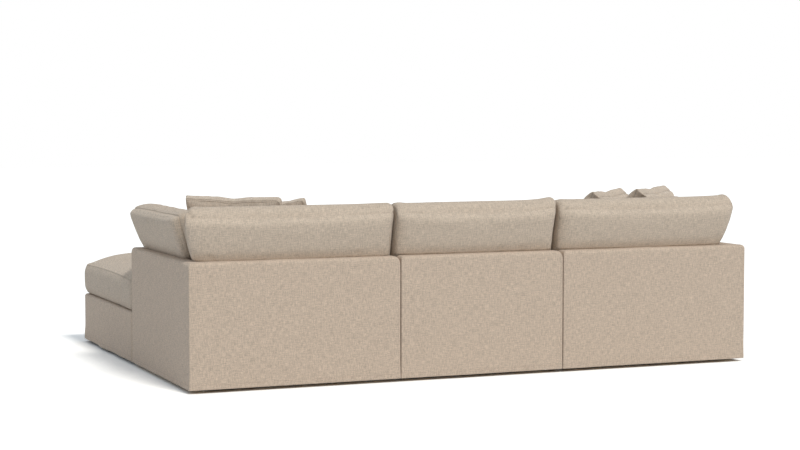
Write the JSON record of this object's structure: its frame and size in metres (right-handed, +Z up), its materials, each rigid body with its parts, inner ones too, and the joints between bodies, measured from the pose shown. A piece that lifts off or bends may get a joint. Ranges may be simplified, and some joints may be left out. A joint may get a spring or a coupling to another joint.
{
  "type": "sectional sofa with chaise",
  "caption": "L-shaped modular fabric sofa: corner seats, an armless seat and an ottoman as chaise, with loose seat, back and side cushions and scatter pillows on low glides.",
  "frame": {"origin": "on the floor under the middle of the whole sofa's box", "axes": "+Z up; the sofa faces -Y; +X is the left hand of a person sitting on it, which is the chaise side"},
  "size_m": [3.124, 2.2156, 0.9366],
  "materials": {
    "cover_fabric": "beige melange plain weave over padded timber",
    "cushion_fabric": "beige melange plain weave over soft filling",
    "pillow_fabric": "beige melange plain weave, slightly darker",
    "timber": "sawn softwood",
    "webbing": "woven elastic upholstery webbing",
    "deck_cloth": "off-white felted padding",
    "dust_cloth": "thin black non-woven cloth",
    "glide_plastic": "black moulded plastic",
    "plate_steel": "zinc-plated steel"
  },
  "bodies": {
    "root": {"left_base_frame": "timber", "left_webbing": "webbing", "left_deck_pad": "deck_cloth", "left_base_cover": "cover_fabric", "left_dust_cloth": "dust_cloth", "left_glide_1": "glide_plastic", "left_glide_2": "glide_plastic", "left_glide_3": "glide_plastic", "left_glide_4": "glide_plastic", "left_wall_frame": "timber", "left_back_cover": "cover_fabric", "left_arm_cover": "cover_fabric", "middle_base_frame": "timber", "middle_webbing": "webbing", "middle_deck_pad": "deck_cloth", "middle_base_cover": "cover_fabric", "middle_dust_cloth": "dust_cloth", "middle_glide_1": "glide_plastic", "middle_glide_2": "glide_plastic", "middle_glide_3": "glide_plastic", "middle_glide_4": "glide_plastic", "middle_wall_frame": "timber", "middle_back_cover": "cover_fabric", "right_base_frame": "timber", "right_webbing": "webbing", "right_deck_pad": "deck_cloth", "right_base_cover": "cover_fabric", "right_dust_cloth": "dust_cloth", "right_glide_1": "glide_plastic", "right_glide_2": "glide_plastic", "right_glide_3": "glide_plastic", "right_glide_4": "glide_plastic", "right_wall_frame": "timber", "right_back_cover": "cover_fabric", "right_arm_cover": "cover_fabric", "joining_plate_left": "plate_steel", "joining_plate_right": "plate_steel"},
    "left_seat": {"left_seat_cushion": "cushion_fabric"},
    "middle_seat": {"middle_seat_cushion": "cushion_fabric"},
    "right_seat": {"right_seat_cushion": "cushion_fabric"},
    "left_back": {"left_back_cushion": "cushion_fabric"},
    "middle_back": {"middle_back_cushion": "cushion_fabric"},
    "right_back": {"right_back_cushion": "cushion_fabric"},
    "left_side": {"left_side_cushion": "cushion_fabric"},
    "right_side": {"right_side_cushion": "cushion_fabric"},
    "left_pillow_rear": {"left_pillow_rear": "pillow_fabric"},
    "left_pillow_front": {"left_pillow_front": "pillow_fabric"},
    "right_pillow_rear": {"right_pillow_rear": "pillow_fabric"},
    "right_pillow_front": {"right_pillow_front": "pillow_fabric"},
    "ottoman": {"ottoman_base_frame": "timber", "ottoman_webbing": "webbing", "ottoman_deck_pad": "deck_cloth", "ottoman_base_cover": "cover_fabric", "ottoman_dust_cloth": "dust_cloth", "ottoman_glide_1": "glide_plastic", "ottoman_glide_2": "glide_plastic", "ottoman_glide_3": "glide_plastic", "ottoman_glide_4": "glide_plastic"},
    "ottoman_top": {"ottoman_cushion": "cushion_fabric"}
  },
  "joints": [
    {"name": "ottoman_pull", "type": "slide", "parent": "root", "child": "ottoman", "axis": [0, -1, 0], "range_m": [0, 0.4]},
    {"name": "ottoman_cushion_lift", "type": "slide", "parent": "ottoman", "child": "ottoman_top", "axis": [0, 0, 1], "range_m": [0, 0.15]},
    {"name": "left_seat_lift", "type": "slide", "parent": "root", "child": "left_seat", "axis": [0, 0, 1], "range_m": [0, 0.15]},
    {"name": "middle_seat_lift", "type": "slide", "parent": "root", "child": "middle_seat", "axis": [0, 0, 1], "range_m": [0, 0.15]},
    {"name": "right_seat_lift", "type": "slide", "parent": "root", "child": "right_seat", "axis": [0, 0, 1], "range_m": [0, 0.15]},
    {"name": "left_back_lift", "type": "slide", "parent": "left_seat", "child": "left_back", "axis": [0, 0.2588, 0.9659], "range_m": [0, 0.2]},
    {"name": "middle_back_lift", "type": "slide", "parent": "middle_seat", "child": "middle_back", "axis": [0, 0.2588, 0.9659], "range_m": [0, 0.2]},
    {"name": "right_back_lift", "type": "slide", "parent": "right_seat", "child": "right_back", "axis": [0, 0.2588, 0.9659], "range_m": [0, 0.2]},
    {"name": "left_side_lift", "type": "slide", "parent": "left_seat", "child": "left_side", "axis": [0.342, 0, 0.9397], "range_m": [0, 0.2]},
    {"name": "right_side_lift", "type": "slide", "parent": "right_seat", "child": "right_side", "axis": [-0.342, 0, 0.9397], "range_m": [0, 0.2]},
    {"name": "left_pillow_rear_lift", "type": "slide", "parent": "left_seat", "child": "left_pillow_rear", "axis": [0.2882, 0.3091, 0.9063], "range_m": [0, 0.2]},
    {"name": "left_pillow_front_lift", "type": "slide", "parent": "left_seat", "child": "left_pillow_front", "axis": [0.2882, 0.3091, 0.9063], "range_m": [0, 0.2]},
    {"name": "right_pillow_rear_lift", "type": "slide", "parent": "right_seat", "child": "right_pillow_rear", "axis": [-0.2602, 0.333, 0.9063], "range_m": [0, 0.2]},
    {"name": "right_pillow_front_lift", "type": "slide", "parent": "right_seat", "child": "right_pillow_front", "axis": [-0.2602, 0.333, 0.9063], "range_m": [0, 0.2]}
  ]
}
